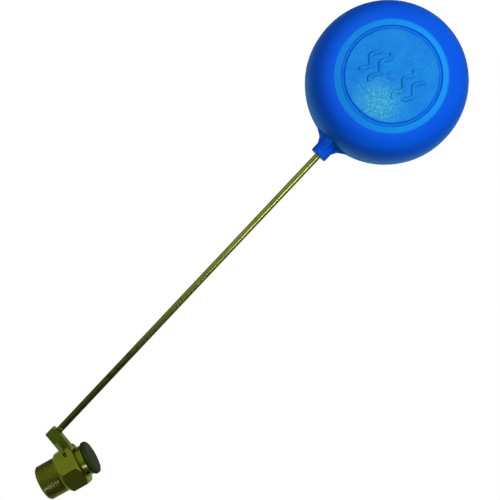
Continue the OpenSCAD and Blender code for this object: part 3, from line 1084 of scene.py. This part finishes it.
@dataclass
class Float:
    """The hollow float: two moulded halves with a ringed face, a boss and its webs."""

    plan: Plan
    plastic: FloatPlastic
    radius: float = 59.0 * MM
    half_thickness: float = 35.5 * MM
    wall: float = 2.5 * MM
    face: float = 33.3 * MM
    groove: float = 35.3 * MM
    rim: float = 39.5 * MM
    rim_drop: float = 1.9 * MM
    groove_depth: float = 0.9 * MM
    flash: float = 0.22 * MM
    boss_radius: float = 6.5 * MM
    boss_depth: float = 21.0 * MM
    insert_radius: float = 4.55 * MM
    insert_length: float = 19.0 * MM
    web_reach: float = 18.5 * MM
    web_thickness: float = 3.0 * MM
    rib_reach: float = 14.0 * MM
    rib_thickness: float = 2.6 * MM
    bead_turn: float = math.radians(24.4)
    beads: tuple[Point2, ...] = ((-18.5, 20.0), (-10.0, 25.0), (10.0, 25.0), (18.5, 20.0))

    @staticmethod
    def centre(plan: Plan) -> Vector:
        """The float's centre, on the rod's line."""
        return plan.rod_place @ Vector((0, 0, plan.boss_end + plan.boss_height + Float.radius))

    def shoulder(self, outer: float, inner: float, top: float, steps: int) -> list[Point2]:
        """Height and radius pairs of the shoulder, from the parting plane up to the rim."""
        points = []
        for i in range(steps + 1):
            a = math.pi / 2 * i / steps
            rise = max(0.0, math.sin(a)) ** 0.84
            reach = max(0.0, math.cos(a)) ** 0.84
            points.append((top * rise, inner + (outer - inner) * reach))
        return points

    def half(self, name: str, place: Matrix) -> Piece:
        """One half of the shell, open at the parting plane, with its rings and its centre pip."""
        face_top = self.half_thickness
        groove_floor = face_top - self.groove_depth
        top = face_top - self.rim_drop
        dome = self.shoulder(self.radius, self.rim, top, 44)
        rings = [
            dome[-1],
            (face_top, self.groove),
            (groove_floor, self.groove - 0.3 * MM),
            (groove_floor, self.face + 0.3 * MM),
            (face_top, self.face),
            (face_top + 0.12 * MM, 20.0 * MM),
            (face_top + 0.15 * MM, 3.6 * MM),
            (face_top + 0.75 * MM, 2.7 * MM),
            (face_top + 0.85 * MM, 0.0),
        ]
        soft = rounded([dome[-4], *rings], 0.35 * MM, 4)[1:]
        hollow = self.shoulder(self.radius - self.wall, self.rim - self.wall, top - self.wall, 20)
        inside = [(top - self.wall, 0.0), *reversed(hollow)]
        flash = self.radius + self.flash
        lip = [(0.0, flash), (0.25 * MM, flash), (0.6 * MM, self.radius)]
        outside = lip + [p for p in dome[:-1] if 0.9 * MM < p[0] < dome[-4][0]]
        return lathe(name, outside + soft + inside, place, 192, ring=True)

    def fittings(self, side: int) -> Piece:
        """The half of the boss and its webs that belongs to one half of the float."""
        place = self.plan.rod_place
        low = self.plan.boss_end
        height = self.plan.boss_height
        r = self.boss_radius
        surface = low + height
        flare = r + 2.4 * MM
        boss_profile = [
            (low, 0.0),
            (low, r - 0.5 * MM),
            (low + 0.5 * MM, r),
            (surface - 1.6 * MM, r + 0.1 * MM),
            (surface + 0.4 * MM, r + 0.9 * MM),
            (surface + 2.0 * MM, flare),
            (surface + 3.5 * MM, flare),
            (low + self.boss_depth, r),
            (low + self.boss_depth, 0.0),
        ]
        boss = lathe("boss", boss_profile, place @ Matrix.Rotation(math.radians(2.1), 4, "Z"), 64)
        side_top = low + 0.28 * height
        root = surface + 0.07 * self.radius
        web_side = [
            (-r + 1.0 * MM, side_top + 3.0 * MM),
            (-r, side_top + 3.0 * MM),
            (-r - 2.2 * MM, root - 6.5 * MM),
            (-self.web_reach, root),
            (-self.web_reach, root + 3.0 * MM),
        ]
        rib_side = [
            (-r - 0.5 * MM, side_top),
            (-self.rib_reach, root + 3.0 * MM),
            (-self.rib_reach, root + 6.0 * MM),
        ]
        flat = Matrix.Rotation(math.pi / 2, 4, "X")
        upright = Matrix.Rotation(math.pi / 2, 4, "Z") @ flat
        for name, outline, thickness, turn in (
            ("web", web_side, self.web_thickness, flat),
            ("rib", rib_side, self.rib_thickness, upright),
        ):
            plate = prism(name, mirrored(outline), -thickness / 2, thickness / 2, place @ turn)
            combine(boss, "UNION", soften(plate, 0.35 * MM, 2))
        reach = 30.0 * MM
        keep_low = (-reach, 0 if side > 0 else -reach, low - 5.0 * MM)
        keep_high = (reach, reach if side > 0 else 0, low + 40.0 * MM)
        return combine(boss, "INTERSECT", block("keep", keep_low, keep_high, place))

    def mark(self, material: bpy.types.Material) -> list[Piece]:
        """The raised wave mark on the front face: four wavy beads about the centre pip."""
        tree = wave_tree(material)
        turn = Matrix.Rotation(self.bead_turn, 4, "Z")
        place = Matrix.Translation(self.centre(self.plan)) @ ALONG_Y @ turn
        beads = []
        for row, span in self.beads:
            values = {
                "Span": span * MM,
                "Height": 2.0 * MM,
                "Waves": span / 13.0,
                "Width": 3.2 * MM,
                "Relief": 1.25 * MM,
            }
            shift = Matrix.Translation((0, row * MM, self.half_thickness + 0.1 * MM))
            beads.append(weld(tree.apply("wave_bead", values), place @ shift, 1e-6))
        return beads

    def build(self) -> list[Piece]:
        """Builds both halves, stands each for its CAD node and returns them."""
        material = self.plastic.build()
        halves = []
        place = Matrix.Translation(self.centre(self.plan)) @ ALONG_Y
        hole_low = self.plan.boss_end - PAST
        hole_high = self.plan.boss_end + self.insert_length
        for name, node, side in (
            ("float_front_moulding", "float_front_shell", 1),
            ("float_rear_moulding", "float_rear_shell", -1),
        ):
            turn = Matrix.Identity(4) if side > 0 else Matrix.Rotation(math.pi, 4, "X")
            half = self.half(name, place @ turn)
            combine(half, "UNION", self.fittings(side))
            aside = self.plan.rod_place @ Matrix.Rotation(math.radians(1.3), 4, "Z")
            hole = drill("hole", self.insert_radius, hole_low, hole_high, aside, 64)
            combine(half, "DIFFERENCE", hole)
            if side > 0:
                combine(half, "UNION", *self.mark(material))
            halves.append(finish_piece(shade(half, 38), "float_arm", "float_plastic", material, node))
        return halves


@dataclass
class Inside:
    """The pieces that keep their CAD shape and get only a finish."""

    finishes: dict[str, Brass | Moulding]

    def build(self) -> None:
        """Gives each CAD node its material."""
        for node, finish in self.finishes.items():
            material = finish.build()
            slots = frame["nodes"][node].material_slots
            for item in slots:
                item.material = material
            LOG.info("%s: kept, finished as %s", node, finish.name)


# ---------------------------------------------------------------- studio


@dataclass(frozen=True)
class Softbox:
    """An oval lamp, with a size that is its height and a stretch that is its width as a share of that.

    place is where it stands and aim the point that it faces. mirrored is whether glossy surfaces
    show it, and seen whether the camera does.
    """

    name: str
    place: Vector
    aim: Vector
    size: float
    power: float
    colour: Colour = WHITE
    stretch: float = 1.0
    mirrored: bool = True
    seen: bool = True

    def build(self, *pieces: Piece) -> None:
        """Adds the lamp; where pieces are given, it lights those alone."""
        data = bpy.data.lights.new(self.name, "AREA")
        data.shape = "ELLIPSE"
        data.size = self.size * self.stretch
        data.size_y = self.size
        data.energy = self.power
        data.color = self.colour
        lamp = bpy.data.objects.new(self.name, data)
        turn = (self.place - self.aim).to_track_quat("Z", "Y").to_matrix().to_4x4()
        lamp.matrix_world = Matrix.Translation(self.place) @ turn
        lamp.visible_glossy = self.mirrored
        lamp.visible_camera = self.seen
        bpy.context.scene.collection.objects.link(lamp)
        if pieces:
            group = bpy.data.collections.new(f"lit_by_{self.name}")
            for piece in pieces:
                group.objects.link(piece)
            lamp.light_linking.receiver_collection = group


@dataclass
class Studio:
    """The camera, the lamps, the white surroundings and the floor.

    The camera looks along -Y at the point look and is turned by tilt about its line of sight.
    """

    float_centre: Vector
    look: Vector
    tilt: float = math.radians(29.3)
    distance: float = 782.0 * MM
    lens: float = 77.04
    sensor: float = 36.0
    floor_z: float = -300.0 * MM
    floor_half: float = 4.0

    def camera(self) -> None:
        """Places the camera and makes it the scene's."""
        data = bpy.data.cameras.new("camera")
        data.lens = self.lens
        data.sensor_width = self.sensor
        data.clip_start = 0.01
        data.clip_end = 50.0
        camera = bpy.data.objects.new("camera", data)
        right = Vector((math.cos(self.tilt), 0, math.sin(self.tilt)))
        up = Vector((math.sin(self.tilt), 0, -math.cos(self.tilt)))
        back = right.cross(up).normalized()
        turn = Matrix((right, up, back)).transposed().to_4x4()
        camera.matrix_world = Matrix.Translation(self.look + back * self.distance) @ turn
        bpy.context.scene.collection.objects.link(camera)
        bpy.context.scene.camera = camera

    def surroundings(self) -> None:
        """Fills the world: white to the eye; for all else dim, and paler below, behind and beside."""
        world = bpy.data.worlds.new("surroundings")
        world.use_nodes = True
        world.node_tree.nodes.clear()
        g = Graph(world.node_tree)
        x, y, z = g.parts(g.add("ShaderNodeTexCoord", out="Generated"))
        below = (y * 0.56 - x * 0.15 - z * 0.8).smooth(0.3, 0.95)
        behind = (z * 0.3 - y * 0.95).smooth(0.25, 0.95)
        beside = x.size().smooth(0.55, 0.95)
        lift = (below * 0.23 + behind * 0.3 + beside * 0.3 + 0.06).clamp()
        glow = g.mix(lift, (0.0, 0.0, 0.0), WHITE)
        colour = g.mix(g.add("ShaderNodeLightPath", out="Is Camera Ray"), glow, WHITE)
        g.add("ShaderNodeOutputWorld", g.add("ShaderNodeBackground", colour, 1.0))
        bpy.context.scene.world = world

    def floor(self) -> None:
        """Lays a plain white floor well below the float."""
        material, g = start_material("floor_paper")
        shine = g.add("ShaderNodeEmission", WHITE, 1.15)
        matt = g.add("ShaderNodeBsdfDiffuse", (0.8, 0.8, 0.8))
        g.add("ShaderNodeOutputMaterial", g.add("ShaderNodeMixShader", 0.9, matt, shine))
        half = self.floor_half
        plane = block("floor", (-half, -half, self.floor_z - 10 * MM), (half, half, self.floor_z), UNMOVED)
        plane.data.materials.append(material)
        plane.visible_glossy = False
        plane.visible_diffuse = False

    def build(self) -> None:
        """Sets up the view, the camera, the surroundings, the floor and the two lamps for everything."""
        scene = bpy.context.scene
        scene.view_settings.view_transform = "Standard"
        scene.view_settings.look = "None"
        self.camera()
        self.surroundings()
        self.floor()
        Softbox("key", Vector((0.85, 0.70, 0.33)), self.look, 0.22, 4.1, mirrored=False).build()
        Softbox("fill", Vector((0.15, 1.1, -0.75)), self.look, 0.9, 11.0, mirrored=False).build()

    def light_valve(self, valve: Piece) -> None:
        """Gives the valve's body its cool glint."""
        cool = (0.2, 0.17, 1.0)
        Softbox("valve_glint", Vector((-0.25, 0.83, 0.5)), Vector((0, 0, 0)), 0.19, 1.9, cool).build(valve)

    def light_rod(self, rod: Piece) -> None:
        """Gives the rod its long highlight."""
        mild = (0.42, 0.4, 1.0)
        stand = Vector((0.48, 0.83, 0.395))
        Softbox("rod_light", stand, self.float_centre, 0.2, 2.3, mild, 2.0).build(rod)

    def light_float(self, halves: Sequence[Piece]) -> None:
        """Gives the float the glow on its face and the pale edge all round."""
        sky = (0.55, 1.0, 0.75)
        aim = self.float_centre
        behind = aim - Vector((0, 0.6, 0))
        Softbox("edge_light", behind, aim, 1.2, 15.0, sky, mirrored=False, seen=False).build(*halves)
        Softbox("face_light", Vector((0.53, 1.22, -0.19)), aim, 0.16, 3.2).build(*halves)


# ---------------------------------------------------------------- main


def joint_place(name: str) -> Vector:
    """The point that a hinge turns about, in the row's frame."""
    joint = next(j for j in frame["joints"] if j["name"] == name)
    return Vector(joint["pos_m"])


def main() -> None:
    """Builds the studio and every piece of the valve."""
    logging.basicConfig(level=logging.INFO, format="%(name)s: %(message)s")
    plan = Plan(pivot=joint_place("lever_pivot"))
    centre = Float.centre(plan)
    studio = Studio(float_centre=centre, look=Vector((199.6, 0, -75.1)) * MM)
    studio.build()
    body = Brass(
        "body_brass",
        clean=(0.42, 0.5, 0.035),
        tarnished=(0.2, 0.22, 0.02),
        share=0.35,
        rough=0.28,
        tooling=Tooling.TURNED,
        # painted shade darkens the thread end of the body, fading out between X = -1.2 mm and 0.3 mm
        painted_shade_depth=0.7,
        painted_shade_span=(-1.2 * MM, 0.3 * MM),
    )
    drawn = Brass(
        "rod_brass",
        clean=(0.66, 0.74, 0.11),
        tarnished=(0.07, 0.11, 0.01),
        share=0.3,
        rough=0.24,
        tooling=Tooling.DRAWN,
        # painted shade darkens the rod towards the lever, fading out between X = 40 mm and 210 mm
        painted_shade_depth=0.85,
        painted_shade_span=(40 * MM, 210 * MM),
    )
    cast = Brass("lever_brass", (0.34, 0.5, 0.04), (0.16, 0.25, 0.02), 0.5, 0.42, Tooling.CAST)
    wire = Brass("pin_brass", (0.42, 0.48, 0.08), (0.22, 0.26, 0.04), 0.3, 0.36, Tooling.CAST)
    bright = Brass("inner_brass", (0.68, 0.58, 0.22), (0.4, 0.33, 0.1), 0.2, 0.24, Tooling.TURNED)
    cap = Moulding("cap_plastic", (0.036, 0.06, 0.014), (0.03, 0.075, 0.03), 0.5, 900.0, 0.8)
    fibre = Moulding("red_fibre", (0.22, 0.03, 0.015), (0.3, 0.06, 0.03), 0.75, 2400.0, 1.0)
    rubber = Moulding("seat_rubber", (0.01, 0.01, 0.01), (0.03, 0.03, 0.03), 0.65, 1800.0, 0.7)
    blue = FloatPlastic(
        "float_plastic",
        deep=(0.0015, 0.095, 0.78),
        # the face's pale colour, the rim colour, the colour beside the parting line and part of the chalk
        # colour are painted light: sheen, a highlight, a reflection and a glow
        pale=(0.005, 0.25, 0.76),
        painted_limb_reflection=(0.003, 0.22, 0.64),
        chalk_and_glow=(0.12, 0.66, 0.58),
        rim=(0.01, 0.32, 0.9),
        centre=centre,
        face_r=Float.face,
        groove_r=Float.groove,
        rim_r=Float.rim,
        edge_r=Float.radius + 0.4 * MM,
    )
    studio.light_valve(Valve(plan, body).build())
    Cap(cap).build()
    SplitPin(plan, wire).build()
    Lever(plan, cast).build()
    studio.light_rod(Rod(plan, drawn).build())
    studio.light_float(Float(plan, blue).build())
    brass_nodes = ("seat_nozzle", "piston", "washer_retainer", "float_insert")
    finishes: dict[str, Brass | Moulding] = dict.fromkeys(brass_nodes, bright)
    finishes |= {"nozzle_washer": fibre, "cap_washer": fibre, "seat_washer": rubber}
    Inside(finishes).build()


if __name__ == "__main__":
    main()
